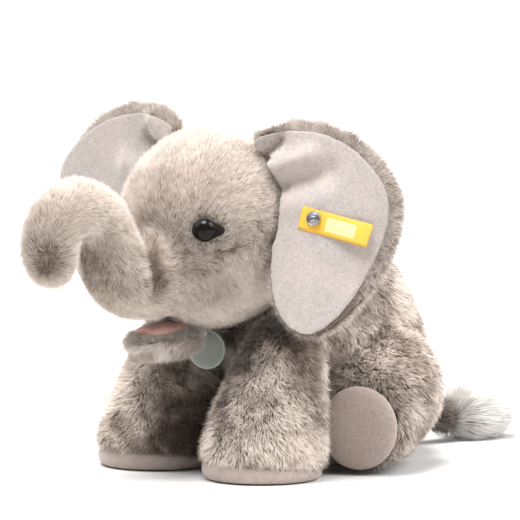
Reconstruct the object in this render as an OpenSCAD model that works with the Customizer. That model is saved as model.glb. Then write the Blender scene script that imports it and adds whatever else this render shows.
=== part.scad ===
// A sitting plush elephant: sewn pile covers over fibre filling, with domed safety eyes,
// a riveted ear ribbon, a round swing tag and velvet soles.
// +Z is up, the face looks along -Y, and the elephant's own left side is +X.

/* [Torso] */
// Half-width of the torso, side to side
torso_half_width = 62; // [60:1:63]
// Height of the shoulders, behind the neck seam
torso_height = 138; // [136:1:140]

/* [Head] */
// Radius of the skull
skull_radius = 61; // [60:1:62]
// Height of the skull's centre
skull_height = 155; // [154:1:157]

/* [Trunk] */
// Radius of the trunk's ball end, inside the face
trunk_root_radius = 33; // [32:1:34]
// Radius of the trunk along its curl
trunk_radius = 20.5; // [19:0.5:21]

/* [Ears] */
// Width of an ear, from its seam to its outer edge
ear_width = 84; // [80:1:86]
// Height of an ear, above its lobe
ear_height = 130; // [126:1:132]
// Thickness of an ear's padded pile half
ear_back_thickness = 6; // [4:0.5:7]
// Thickness of an ear's velvet half
ear_lining_thickness = 2; // [1.5:0.5:3]
// Width of the pile border round an ear's velvet
ear_border = 6; // [5:0.5:8]
// How far the left ear is swept back, in degrees
left_ear_sweep = 18; // [14:1:20]
// How far the right ear is swept back, in degrees
right_ear_sweep = 0; // [0:1:6]

/* [Legs] */
// Radius of a front leg at its shin
front_leg_radius = 31; // [30:1:32]
// Radius of a hind leg's foot
hind_foot_radius = 27; // [26:1:28]
// Thickness of a velvet sole
sole_thickness = 2.5; // [2:0.5:3]

/* [Eyes] */
// Diameter of an eye's dome
eye_diameter = 14; // [12:0.5:15]
// How far an eye is turned from straight ahead, in degrees
eye_turn = 41; // [38:1:44]

/* [Ribbon and tag] */
// Diameter of the rivet's cap
rivet_diameter = 9.4; // [8:0.2:10]
// Length of the folded ear ribbon
ribbon_length = 46; // [42:1:47]
// Width of the ear ribbon
ribbon_width = 14; // [12:0.5:15]
// Diameter of the round swing tag
tag_diameter = 25; // [22:0.5:26]

/* [Fabric] */
// Thickness of the pile covers
cover_thickness = 3; // [2.5:0.5:3.5]

/* [Hidden] */

left = 1;
right = -1;
// From the middle of the seat back to the middle of the whole length, trunk tip to tail tip
seat_to_middle = 18;
// Room between pieces of one body, and between bodies that move
fit_gap = 0.2;
joint_gap = 1;
// The skull's centre is this far in front of the middle of the seat, and the head turns about it
skull_forward = 64;
head_turn_limit = 12;
// An eye's frame lies this far inside the skull, and the eye's flat back that far out from it
eye_sink = 1.5;
eye_back = 0.6;
shank_length = 8;

pile_color = "#c4b3a4";
velvet_color = "#dccfc8";
filling_color = "#efece4";

// ---- Shapes

// Catmull-Rom value of a list of stations at place u, where station i is at u = i
function at(s, u) =
    let (n = len(s) - 1,
         i = min(floor(u), n - 1),
         t = u - i,
         p0 = s[max(i - 1, 0)], p1 = s[i], p2 = s[i + 1], p3 = s[min(i + 2, n)])
    p1 + 0.5 * t * ((p2 - p0) + t * ((2 * p0 - 5 * p1 + 4 * p2 - p3)
        + t * (3 * p1 - p0 - 3 * p2 + p3)));

// Places along a loft from u0 to u1, each with the factor that rounds a domed end.
// d0 and d1 are the lengths of the two domes in stations, and 0 leaves an end flat.
function places(u0, u1, d0, d1, rows, dome_rows = 4) = concat(
    d0 > 0 ? [for (j = [1 : dome_rows - 1]) let (a = 90 * j / dome_rows)
        [u0 + d0 * (1 - cos(a)), sin(a)]] : [],
    [for (k = [0 : rows]) [u0 + d0 + (u1 - d1 - u0 - d0) * k / rows, 1]],
    d1 > 0 ? [for (j = [1 : dome_rows - 1]) let (a = 90 * j / dome_rows)
        [u1 - d1 * (1 - sin(a)), cos(a)]] : []);

function step(s, i) = norm([s[i + 1][0] - s[i][0], s[i + 1][1] - s[i][1]]);

// A soft body lofted through stations in the plane x = 0. Each station is
// [y, z, lean, half-width, reach on the lean's side, reach on the far side],
// where lean is the angle of its ring's own axis from +Y towards +Z.
// inset draws the same body that much smaller, for the inside of a cover.
module loft(s, d0 = 0, d1 = 0, inset = 0, sides = 20, rows = 10) {
    n = len(s) - 1;
    first = inset / step(s, 0);
    last = n - inset / step(s, n - 1);
    p = places(max(first, 0), min(last, n), max(d0 - max(first, 0), 0),
               max(d1 - n + min(last, n), 0), rows);
    m = len(p);
    rings = [for (q = p) let (c = at(s, q[0])) [for (i = [0 : sides - 1])
        let (a = 360 * i / sides,
             reach = ((sin(a) > 0 ? c[4] : c[5]) - inset) * q[1] * sin(a))
        [(c[3] - inset) * q[1] * cos(a),
         c[0] + reach * cos(c[2]),
         c[1] + reach * sin(c[2])]]];
    // A body drawn larger also reaches that much past its own ends
    past = max(-inset, 0);
    e0 = at(s, max(first, 0)) + (s[0] - s[1]) / step(s, 0) * past;
    e1 = at(s, min(last, n)) + (s[n] - s[n - 1]) / step(s, n - 1) * past;
    ends = [[0, e0[0], e0[1]], [0, e1[0], e1[1]]];
    points = concat([for (r = rings) each r], ends);
    faces = concat(
        [for (j = [0 : m - 2]) for (i = [0 : sides - 1]) let (k = (i + 1) % sides)
            each [[j * sides + i, (j + 1) * sides + i, j * sides + k],
                  [j * sides + k, (j + 1) * sides + i, (j + 1) * sides + k]]],
        [for (i = [0 : sides - 1]) [m * sides, i, (i + 1) % sides]],
        [for (i = [0 : sides - 1])
            [m * sides + 1, (m - 1) * sides + (i + 1) % sides, (m - 1) * sides + i]]);
    polyhedron(points, faces);
}

// A round ball of flat faces
module ball(r, sides = 24) {
    s = [[-r, 0, -90, r, r, r], [0, 0, -90, r, r, r], [r, 0, -90, r, r, r]];
    loft(s, 1, 1, 0, sides, 1);
}

// The model's own frame: the middle of the whole, on the floor
module placed() translate([0, seat_to_middle, 0]) children();

// ---- Torso

torso_stations = [
    [42, 0, 0, torso_half_width - 15, 50, 50],
    [40, 26, 0, torso_half_width - 2, 68, 66],
    [38, 50, 0, torso_half_width, 72, 72],
    [34, 76, 0, torso_half_width - 2, 70, 84],
    [30, 98, 0, torso_half_width - 7, 64, 76],
    [24, 122, 0, torso_half_width - 14, 56, 60],
    [20, torso_height, 0, torso_half_width - 26, 38, 40]];
module torso_shape(inset = 0) loft(torso_stations, 0, 1, inset, 24, 8);

// What the torso leaves free: the turning head, the swinging legs and the tail's root
module torso_room(gap) {
    hull() for (turn = [-head_turn_limit, 0, head_turn_limit]) translate([0, -skull_forward, 0])
        rotate(turn) translate([0, skull_forward, 0]) head_shape(-gap);
    for (side = [left, right]) {
        hull() for (swing = [0, front_leg_limit])
            front_leg_frame(side) front_leg_swung(swing) front_leg_shape(-gap);
        hull() for (spread = [0, hind_leg_limit])
            hind_leg_frame(side) rotate(side * spread) hind_leg_shape(-gap);
    }
    tail_frame() tail_root_room(gap);
}

module torso_cover() color(pile_color) placed()
    difference() {
        torso_shape();
        torso_shape(cover_thickness);
        torso_room(joint_gap);
        fastener_frame() translate([0, 0, -fastener_depth])
            cylinder(r = fastener_radius + fit_gap, h = fastener_depth, $fn = 48);
    }
module torso_filling() color(filling_color) placed()
    difference() {
        torso_shape(cover_thickness + fit_gap);
        torso_room(joint_gap + cover_thickness + fit_gap);
        fastener_frame() translate([0, 0, 2 - fastener_depth]) cube([10, 3, 12], center = true);
    }

// ---- Head

head_stations = [
    [skull_radius - skull_forward, skull_height, 90, skull_radius + 1, skull_radius, skull_radius],
    [-skull_forward, skull_height, 90, skull_radius + 1, skull_radius, skull_radius + 4],
    [-skull_forward - 26, skull_height - 2, 90, skull_radius - 6, skull_radius - 6, skull_radius + 1],
    [-skull_forward - 46, skull_height - 9, 90, skull_radius - 19, skull_radius - 16,
        skull_radius - 11],
    [-skull_forward - 61, skull_height - 19, 90, skull_radius - 31, skull_radius - 32,
        skull_radius - 23]];
module head_shape(inset = 0) loft(head_stations, 1, 1, inset, 24, 6);

module eye_frame(side) translate([0, -skull_forward, skull_height]) rotate(side * eye_turn)
    translate([0, eye_sink - skull_radius, 0]) rotate([90, 0, 0]) children();

// What the head leaves free for the trunk's ball end as it swings
module head_room(gap) for (swing = [trunk_up, 0, trunk_down]) trunk_swung(swing) trunk_root(-gap);

module head_cover() color(pile_color) placed()
    difference() {
        head_shape();
        head_shape(cover_thickness);
        head_room(joint_gap);
        for (side = [left, right]) eye_frame(side) {
            cylinder(r = shank_radius + fit_gap, h = 16, center = true, $fn = 24);
            translate([0, 0, eye_back - fit_gap])
                cylinder(d = eye_diameter + 2 * fit_gap, h = eye_diameter, $fn = 48);
        }
    }
module head_filling() color(filling_color) placed()
    difference() {
        head_shape(cover_thickness + fit_gap);
        head_room(joint_gap + cover_thickness);
        for (side = [left, right]) eye_frame(side) translate([0, 0, -12])
            cylinder(r = washer_radius + fit_gap, h = 24, center = true, $fn = 32);
    }

jaw_stations = [
    [-80, 84, 90, 13, 7, 8],
    [-93, 82, 90, 20, 8, 9],
    [-107, 80, 90, 23, 5, 7],
    [-120, 80.5, 90, 19, 5, 7],
    [-131, 83, 90, 12, 5, 6]];
module lower_jaw() color(pile_color) placed()
    difference() {
        loft(jaw_stations, 1, 1, 0, 16, 6);
        head_shape(-fit_gap);
        head_room(joint_gap);
    }
lining_stations = [
    [-92, 90, 90, 15, 4, 4],
    [-108, 88, 90, 16, 5, 4],
    [-120, 87, 90, 12, 3, 2.5]];
module mouth_lining() color("#c9827a") placed()
    difference() {
        loft(lining_stations, 0, 0, 0, 16, 4);
        head_shape(-fit_gap);
        head_room(joint_gap);
        loft(jaw_stations, 1, 1, -fit_gap, 16, 6);
    }

// ---- Eyes

shank_radius = 2;
washer_radius = 6;
// A dome on a flat back, with the shank that passes through the cover
module eye(side) color("#171311") placed() eye_frame(side) rotate_extrude($fn = 128) {
    intersection() {
        translate([0, eye_back - eye_diameter * 0.22]) circle(eye_diameter * 0.56, $fn = 64);
        translate([0, eye_back]) square([eye_diameter / 2, eye_diameter]);
    }
    translate([0, -shank_length]) square([shank_radius, shank_length + eye_back + 0.1]);
}
module left_eye() eye(left);
module right_eye() eye(right);

// The locking washer pressed on the shank behind the cover
module eye_washer(side) color("#e8e6df") placed() eye_frame(side) translate([0, 0, -6.5])
    rotate_extrude($fn = 128) difference() {
        translate([0, -0.8]) square([washer_radius, 1.6]);
        translate([0, -1]) square([shank_radius + 0.05, 2]);
    }
module left_eye_washer() eye_washer(left);
module right_eye_washer() eye_washer(right);

// ---- Trunk

trunk_up = -12;
trunk_down = 8;
trunk_hinge = [0, -103, 130];
trunk_stations = [
    [trunk_root_radius - 103, 131, 90, trunk_root_radius, trunk_root_radius, trunk_root_radius],
    [-103, 130, 90, trunk_root_radius, trunk_root_radius, trunk_root_radius],
    [-121, 125, 88, trunk_radius + 9, trunk_radius + 8, trunk_radius + 8],
    [-138, 125, 75, trunk_radius + 6, trunk_radius + 7, trunk_radius + 5],
    [-150, 134, 47, trunk_radius + 3, trunk_radius + 4, trunk_radius + 2],
    [-154.5, 149, 16, trunk_radius + 1, trunk_radius + 1.5, trunk_radius],
    [-163, 164, 40, trunk_radius, trunk_radius, trunk_radius],
    [-181, 171, 88, trunk_radius, trunk_radius, trunk_radius],
    [-197, 163, 135, trunk_radius - 0.5, trunk_radius - 0.5, trunk_radius - 0.5],
    [-203, 148, 170, trunk_radius - 1, trunk_radius - 1, trunk_radius - 1],
    [-202, 127, 180, trunk_radius - 1.5, trunk_radius - 1.5, trunk_radius - 1.5]];
module trunk_shape(inset = 0) loft(trunk_stations, 1, 1, inset, 16, 16);
module trunk_root(inset) loft([for (i = [0 : 3]) trunk_stations[i]], 1, 0, inset, 16, 2);
module trunk_swung(swing) translate(trunk_hinge) rotate([swing, 0, 0])
    translate(-trunk_hinge) children();

module trunk_cover() color(pile_color) placed()
    difference() {
        trunk_shape();
        trunk_shape(cover_thickness);
    }
module trunk_filling() color(filling_color) placed() trunk_shape(cover_thickness + fit_gap);

// ---- Ears

// The seam that each ear turns on, from its foot to its top. The ears are sewn by eye, so the
// right one is set further back at its foot and a little higher.
function seam_foot(side) = side == left ? [58, -76, 125] : [60, -60, 125];
seam_top = [48, -59, 208];
function lobe_height(side) = side == left ? 90 : 94;

// An ear's outline: places from the seam outwards, and up from the lobe
ear_outline_points = [
    [-0.17, 0.87], [-0.05, 0.96], [0.16, 1], [0.44, 0.985], [0.71, 0.91], [0.93, 0.76],
    [1, 0.62], [0.96, 0.45], [0.83, 0.27], [0.65, 0.11], [0.42, 0.01], [0.2, 0.04],
    [0.05, 0.16], [0.0, 0.34], [0.0, 0.58]];
function closed_at(s, u) = let (n = len(s), i = floor(u), f = u - i,
    p0 = s[(i + n - 1) % n], p1 = s[i % n], p2 = s[(i + 1) % n], p3 = s[(i + 2) % n])
    p1 + 0.5 * f * ((p2 - p0) + f * ((2 * p0 - 5 * p1 + 4 * p2 - p3)
        + f * (3 * p1 - p0 - 3 * p2 + p3)));
module ear_outline(border = 0) offset(delta = -border)
    polygon([for (i = [0 : 0.5 : len(ear_outline_points) - 0.5])
        let (p = closed_at(ear_outline_points, i)) [p[0] * ear_width, p[1] * ear_height]]);

// Local x runs from the seam outwards, y up the ear and z out of its velvet face
module ear_frame(side) {
    sweep = side == left ? left_ear_sweep : right_ear_sweep;
    foot = seam_foot(side);
    up = (seam_top - foot) / (seam_top[2] - foot[2]);
    lobe = foot + up * (lobe_height(side) - foot[2]);
    across = [cos(sweep), sin(sweep), 0];
    out = cross(across, up) / norm(cross(across, up));
    multmatrix([[side, 0, 0, 0], [0, 1, 0, 0], [0, 0, 1, 0], [0, 0, 0, 1]])
        multmatrix([
            [across[0], up[0], out[0], lobe[0]],
            [across[1], up[1], out[1], lobe[1]],
            [across[2], up[2], out[2], lobe[2]],
            [0, 0, 0, 1]])
        children();
}
ear_clearance = 2.5;
module ear_back(side) color(pile_color) placed()
    difference() {
        ear_frame(side) translate([0, 0, -ear_back_thickness]) hull() {
            linear_extrude(ear_back_thickness / 2) ear_outline(2);
            translate([0, 0, ear_back_thickness / 2]) linear_extrude(ear_back_thickness / 2)
                ear_outline();
        }
        head_shape(-ear_clearance);
        ear_frame(side) ear_rivet_hole(side);
    }
module ear_lining(side) color(velvet_color) placed()
    difference() {
        ear_frame(side) translate([0, 0, fit_gap]) linear_extrude(ear_lining_thickness)
            ear_outline(ear_border);
        head_shape(-ear_clearance);
        ear_frame(side) ear_rivet_hole(side);
    }
module left_ear_back() ear_back(left);
module left_ear_lining() ear_lining(left);
module right_ear_back() ear_back(right);
module right_ear_lining() ear_lining(right);

// The rivet through the left ear, its washer behind, and the folded ribbon under its cap
rivet_place = [32, 70];
rivet_shank_radius = 1.6;
ribbon_thickness = 1;
lining_face = fit_gap + ear_lining_thickness;
module ear_rivet_hole(side) if (side == left) translate(rivet_place)
    cylinder(r = rivet_shank_radius + 0.3, h = 30, center = true, $fn = 32);
module ear_rivet() color("#8f8c88") placed() ear_frame(left) translate(rivet_place)
    rotate_extrude($fn = 128) union() {
        translate([0, -ear_back_thickness - 1.4])
            square([rivet_shank_radius, ear_back_thickness + lining_face + 1.4 + ribbon_thickness + 1]);
        translate([0, lining_face + ribbon_thickness + 0.6])
            square([rivet_diameter / 2, 1.6]);
    }
module ear_rivet_washer() color("#8f8c88") placed() ear_frame(left) translate(rivet_place)
    translate([0, 0, -ear_back_thickness - 1.2]) rotate_extrude($fn = 128)
        translate([rivet_shank_radius + 0.05, 0]) square([2.8, 1]);
ribbon_tilt = -11;
module ear_ribbon() color("#f2b134") placed() ear_frame(left) translate(rivet_place)
    translate([0, 0, lining_face + 0.3]) difference() {
        rotate(ribbon_tilt) translate([-8, -ribbon_width / 2, 0])
            cube([ribbon_length, ribbon_width, ribbon_thickness]);
        cylinder(r = rivet_shank_radius + 0.3, h = 10, center = true, $fn = 32);
    }

// ---- Front legs

// Half the distance between the two front legs, and the height and place of their hinge
front_leg_side = 46;
front_leg_hinge = [-48, 74];
front_leg_limit = 14;
// [y, z], then how much the half-width and the front and back reach add to the shin's radius
front_leg_stations = [for (s = [
    [-44, 101, -6, -6, -6],
    [-49, 76, -4, -4, -3],
    [-57, 48, 4, 6, 2],
    [-62, 22, 8, 12, 4],
    [-62, 9, 7, 12, 3],
    [-62, sole_thickness, 4, 8, 0]])
    [s[0], s[1], 180, front_leg_radius + s[2], front_leg_radius + s[3], front_leg_radius + s[4]]];
module front_leg_shape(inset = 0) loft(front_leg_stations, 1, 0, inset, 20, 7);
module front_leg_frame(side) translate([side * front_leg_side, 0, 0]) children();
module front_leg_swung(swing) translate([0, front_leg_hinge[0], front_leg_hinge[1]])
    rotate([-swing, 0, 0]) translate([0, -front_leg_hinge[0], -front_leg_hinge[1]]) children();

module front_leg_cover(side) color(pile_color) placed() front_leg_frame(side)
    difference() {
        front_leg_shape();
        front_leg_shape(cover_thickness);
    }
module front_leg_filling(side) color(filling_color) placed() front_leg_frame(side)
    front_leg_shape(cover_thickness + fit_gap);
module front_sole(side) color(velvet_color) placed() front_leg_frame(side)
    translate([0, -62, 0]) linear_extrude(sole_thickness) polygon([for (i = [0 : 31])
        let (a = 360 * i / 32, reach = front_leg_radius + (a < 180 ? -1 : 7))
        [(front_leg_radius + 3) * cos(a), reach * sin(a)]]);
module left_front_leg_cover() front_leg_cover(left);
module left_front_leg_filling() front_leg_filling(left);
module left_front_sole() front_sole(left);
module right_front_leg_cover() front_leg_cover(right);
module right_front_leg_filling() front_leg_filling(right);
module right_front_sole() front_sole(right);

// ---- Hind legs

hind_leg_splay = 32;
hind_leg_limit = 12;
hip = [50, 35.5];
hind_leg_length = 57;
foot_height = 29;
// [y, z], then how much the half-width and the upper and lower reach add to the foot's radius
hind_leg_stations = [for (s = [
    [hind_foot_radius + 10, 48, 11, 12, 14],
    [0, 48, 11, 12, 14],
    [-30, 39, 7, 8, 8],
    [8 - hind_leg_length, 31, 3, 4, 3],
    [sole_thickness - hind_leg_length, foot_height, 0, 0, 0]])
    [s[0], s[1], 90, hind_foot_radius + s[2], hind_foot_radius + s[3], hind_foot_radius + s[4]]];
module hind_leg_shape(inset = 0) loft(hind_leg_stations, 1, 0, inset, 20, 6);
module hind_leg_frame(side) translate([side * hip[0], hip[1], 0]) rotate(side * hind_leg_splay)
    children();
module hind_leg_cover(side) color(pile_color) placed() hind_leg_frame(side)
    difference() {
        hind_leg_shape();
        hind_leg_shape(cover_thickness);
    }
module hind_leg_filling(side) color(filling_color) placed() hind_leg_frame(side)
    hind_leg_shape(cover_thickness + fit_gap);
module hind_sole(side) color(velvet_color) placed() hind_leg_frame(side)
    translate([0, sole_thickness - hind_leg_length, foot_height]) rotate([90, 0, 0])
        cylinder(r = hind_foot_radius - 1, h = sole_thickness, $fn = 48);
module left_hind_leg_cover() hind_leg_cover(left);
module left_hind_leg_filling() hind_leg_filling(left);
module left_hind_sole() hind_sole(left);
module right_hind_leg_cover() hind_leg_cover(right);
module right_hind_leg_filling() hind_leg_filling(right);
module right_hind_sole() hind_sole(right);

// ---- Tail

tail_turn = 6;
tail_hinge = [0, 104];
tail_stations = [
    [-6, 24, -90, 7, 7, 7],
    [10, 22, -90, 7, 7, 7],
    [26, 18, -90, 7, 7, 7],
    [36, 16, -90, 8, 8, 8]];
tuft_stations = [
    [36 + fit_gap, 16, -90, 9, 9, 9],
    [50, 17, -90, 15, 16, 16],
    [70, 16, -90, 15, 15, 15],
    [86, 14, -90, 8, 9, 8]];
module tail_frame() translate(tail_hinge) rotate(-tail_turn) children();
module tail_root_room(gap) translate([0, 0, 24]) ball(14 + gap, 20);
module tail_stem() color("#5b4f46") placed() tail_frame() loft(tail_stations, 0.5, 0, 0, 16, 8);
module tail_tuft() color("#d9d3cc") placed() tail_frame() loft(tuft_stations, 0.6, 1, 0, 16, 8);

// ---- Swing tag, on a short plastic fastener at the throat

fastener_radius = 0.8;
fastener_depth = 24;
fastener_bar = 8;
tag_thickness = 1;
tag_top = [-3, -66, 85.5];
module fastener_frame() translate(tag_top) rotate([90, 0, 0]) children();
module tag_fastener() color("#d8d8d2") placed() fastener_frame() {
    translate([0, 0, 2 - fastener_depth]) {
        cylinder(r = fastener_radius, h = fastener_depth, $fn = 48);
        rotate([0, 90, 0])
            cylinder(r = fastener_radius, h = fastener_bar, center = true, $fn = 48);
    }
    translate([0, 0, 1.2]) cylinder(r = 2 * fastener_radius, h = 0.8, $fn = 48);
}
tag_hole_inset = 2.5;
module swing_tag() color("#6f7468") placed() fastener_frame() difference() {
    translate([0, tag_hole_inset - tag_diameter / 2, 0])
        cylinder(d = tag_diameter, h = tag_thickness, center = true, $fn = 96);
    cylinder(r = fastener_radius + 0.4, h = 5, center = true, $fn = 48);
}

torso_cover();
torso_filling();
head_cover();
head_filling();
lower_jaw();
mouth_lining();
left_eye();
right_eye();
left_eye_washer();
right_eye_washer();
trunk_cover();
trunk_filling();
left_ear_back();
left_ear_lining();
right_ear_back();
right_ear_lining();
ear_rivet();
ear_rivet_washer();
ear_ribbon();
left_front_leg_cover();
left_front_leg_filling();
left_front_sole();
right_front_leg_cover();
right_front_leg_filling();
right_front_sole();
left_hind_leg_cover();
left_hind_leg_filling();
left_hind_sole();
right_hind_leg_cover();
right_hind_leg_filling();
right_hind_sole();
tail_stem();
tail_tuft();
tag_fastener();
swing_tag();
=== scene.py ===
"""A sitting plush elephant: pile, velvet, eyes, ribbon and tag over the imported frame."""
import math

import bmesh
import bpy
import numpy as np
from mathutils import Matrix, Vector
from mathutils.bvhtree import BVHTree


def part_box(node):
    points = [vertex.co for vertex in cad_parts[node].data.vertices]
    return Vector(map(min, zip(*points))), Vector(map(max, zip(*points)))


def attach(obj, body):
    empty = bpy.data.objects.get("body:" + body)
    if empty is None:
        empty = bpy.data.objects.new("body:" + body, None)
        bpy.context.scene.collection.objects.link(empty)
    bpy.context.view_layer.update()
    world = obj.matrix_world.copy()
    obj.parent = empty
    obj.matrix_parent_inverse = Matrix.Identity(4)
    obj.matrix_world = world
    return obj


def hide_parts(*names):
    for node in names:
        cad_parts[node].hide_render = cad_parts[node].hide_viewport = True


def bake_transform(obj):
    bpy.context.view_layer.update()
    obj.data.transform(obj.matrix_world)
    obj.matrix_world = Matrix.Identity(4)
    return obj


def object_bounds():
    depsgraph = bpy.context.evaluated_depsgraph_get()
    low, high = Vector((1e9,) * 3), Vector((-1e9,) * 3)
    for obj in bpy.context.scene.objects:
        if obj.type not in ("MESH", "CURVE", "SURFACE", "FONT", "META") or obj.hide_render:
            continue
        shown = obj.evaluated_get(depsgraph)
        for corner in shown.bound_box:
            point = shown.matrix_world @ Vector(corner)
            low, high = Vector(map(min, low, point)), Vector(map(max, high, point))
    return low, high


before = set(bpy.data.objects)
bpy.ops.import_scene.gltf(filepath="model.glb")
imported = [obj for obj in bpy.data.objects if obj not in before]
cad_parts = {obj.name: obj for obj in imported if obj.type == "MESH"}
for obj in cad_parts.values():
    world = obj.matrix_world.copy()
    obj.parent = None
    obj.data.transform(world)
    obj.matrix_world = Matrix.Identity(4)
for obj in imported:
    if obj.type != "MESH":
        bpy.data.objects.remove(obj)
cad_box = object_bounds()
MM = 0.001
PILE_SOFTNESS = 0.62
FAR_OFF = 0.03
SIDES = {"left": 1, "right": -1}


# ---- Camera, light and floor

CAMERA_AZIMUTH = 45
CAMERA_ELEVATION = 5.8
CAMERA_DISTANCE = 4.0
VIEW_WIDTH = 0.325
SENSOR = 36
SKY_STRENGTH = 0.24
FLOOR_GREY = 0.74
FLOOR_HALF = 12
# Suns: (name, azimuth, elevation, strength, softness, colour), the angles in degrees
SUNS = [("key", 0, 77, 4.9, 34, (1.0, 0.985, 0.965)), ("side", 128, 44, 2.6, 40, (1.0, 0.985, 0.97)),
        ("front", -58, 40, 1.15, 50, (1.0, 0.98, 0.96))]
box_middle = (cad_box[0] + cad_box[1]) / 2
target = box_middle + Vector((-0.018, 0.014, 0.013))


def towards(azimuth, elevation):
    """The direction from the object to an eye or a lamp at these angles, in degrees."""
    a, e = math.radians(azimuth), math.radians(elevation)
    return Vector((math.sin(a) * math.cos(e), -math.cos(a) * math.cos(e), math.sin(e)))


def make_camera():
    back = towards(CAMERA_AZIMUTH, CAMERA_ELEVATION)
    data = bpy.data.cameras.new("camera")
    data.sensor_width = SENSOR
    data.lens = SENSOR * CAMERA_DISTANCE / VIEW_WIDTH
    data.clip_end = 100
    camera = bpy.data.objects.new("camera", data)
    bpy.context.scene.collection.objects.link(camera)
    camera.location = target + back * CAMERA_DISTANCE
    camera.rotation_mode = "QUATERNION"
    camera.rotation_quaternion = (-back).to_track_quat("-Z", "Y")
    bpy.context.scene.camera = camera


def make_sun(name, azimuth, elevation, strength, softness, colour):
    data = bpy.data.lights.new(name, "SUN")
    data.energy = strength
    data.angle = math.radians(softness)
    data.color = colour
    lamp = bpy.data.objects.new(name, data)
    bpy.context.scene.collection.objects.link(lamp)
    lamp.rotation_mode = "QUATERNION"
    lamp.rotation_quaternion = (-towards(azimuth, elevation)).to_track_quat("-Z", "Y")


def make_studio():
    scene = bpy.context.scene
    scene.view_settings.view_transform = "Standard"
    world = bpy.data.worlds.new("studio")
    world.use_nodes = True
    scene.world = world
    sky = world.node_tree.nodes["Background"]
    sky.inputs["Color"].default_value = (0.96, 0.98, 1.0, 1)
    sky.inputs["Strength"].default_value = SKY_STRENGTH
    for sun in SUNS:
        make_sun(*sun)
    shape = bmesh.new()
    bmesh.ops.create_grid(shape, x_segments=1, y_segments=1, size=FLOOR_HALF)
    mesh = mesh_of(shape, "floor")
    floor = bpy.data.objects.new("floor", mesh)
    scene.collection.objects.link(floor)
    paint = Finish("pale_floor", roughness=0.9)
    paint.colour((FLOOR_GREY, FLOOR_GREY, FLOOR_GREY))
    mesh.materials.append(paint.material)


# ---- Materials

class Number:
    """A number socket whose Python operators add Math nodes."""

    def __init__(self, finish, socket):
        self.finish = finish
        self.socket = socket

    def _math(self, operation, first, second):
        return self.finish.number("ShaderNodeMath", {"operation": operation}, {0: first, 1: second})

    def __add__(self, other):
        return self._math("ADD", self, other)

    def __sub__(self, other):
        return self._math("SUBTRACT", self, other)

    def __mul__(self, other):
        return self._math("MULTIPLY", self, other)

    def __truediv__(self, other):
        return self._math("DIVIDE", self, other)

    def __pow__(self, other):
        return self._math("POWER", self, other)

    def __rsub__(self, other):
        return self._math("SUBTRACT", other, self)

    def step(self, low, high):
        """0 below low, 1 above high, and smooth between."""
        settings = {"interpolation_type": "SMOOTHSTEP"}
        values = {"Value": self, "From Min": low, "From Max": high}
        return self.finish.number("ShaderNodeMapRange", settings, values)


class Finish:
    """One material: a Principled shader and the nodes that feed it."""

    def __init__(self, name, **shader):
        self.material = bpy.data.materials.new(name)
        self.material.use_nodes = True
        self.tree = self.material.node_tree
        self.shader = self.tree.nodes["Principled BSDF"]
        for words, value in shader.items():
            self.shader.inputs[words.replace("_", " ").title().replace("Ior", "IOR")].default_value = value

    def node(self, kind, settings=None, values=None):
        made = self.tree.nodes.new(kind)
        for word, value in (settings or {}).items():
            setattr(made, word, value)
        for socket, value in (values or {}).items():
            self.put(made.inputs[socket], value)
        return made

    def put(self, entry, value):
        """Links a node's output to this input, or sets the value there. A colour gets its alpha."""
        if isinstance(value, Number):
            value = value.socket
        if isinstance(value, bpy.types.NodeSocket):
            self.tree.links.new(value, entry)
        else:
            entry.default_value = (*value, 1) if entry.type == "RGBA" else value

    def number(self, kind, settings=None, values=None):
        return Number(self, self.node(kind, settings, values).outputs[0])

    def place(self, centre=(0, 0, 0), turn=(0, 0, 0)):
        """Object coordinates, centred and turned on a piece."""
        place = self.node("ShaderNodeTexCoord").outputs["Object"]
        settings = {"vector_type": "TEXTURE"}
        values = {"Vector": place, "Location": centre, "Rotation": turn}
        return self.node("ShaderNodeMapping", settings, values).outputs[0]

    def attribute(self, name, output="Fac"):
        made = self.node("ShaderNodeAttribute", {"attribute_name": name})
        if output == "Fac":
            return Number(self, made.outputs["Fac"])
        return made.outputs[output]

    def noise(self, size, detail=2.0, roughness=0.5, distortion=0.0, vector=None):
        """Noise from 0 to 1 whose grain is about size metres."""
        values = {
            "Vector": vector or self.place(),
            "Scale": 1 / size,
            "Detail": detail,
            "Roughness": roughness,
            "Distortion": distortion,
        }
        return self.number("ShaderNodeTexNoise", None, values)

    def mix(self, share, first, second):
        """A colour between two others."""
        made = self.node("ShaderNodeMix", {"data_type": "RGBA"})
        for socket, value in ((0, share), (6, first), (7, second)):
            self.put(made.inputs[socket], value)
        return made.outputs[2]

    def scaled(self, colour, by):
        """A colour made lighter or darker by a number."""
        made = self.node("ShaderNodeVectorMath", {"operation": "SCALE"})
        self.put(made.inputs[0], colour)
        self.put(made.inputs["Scale"], by)
        return made.outputs[0]

    def colour(self, value):
        self.feed("Base Color", value)

    def feed(self, socket, value):
        self.put(self.shader.inputs[socket], value)

    def bump(self, height, distance, strength=1.0):
        values = {"Height": height, "Distance": distance, "Strength": strength}
        self.feed("Normal", self.node("ShaderNodeBump", None, values).outputs[0])


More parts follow.
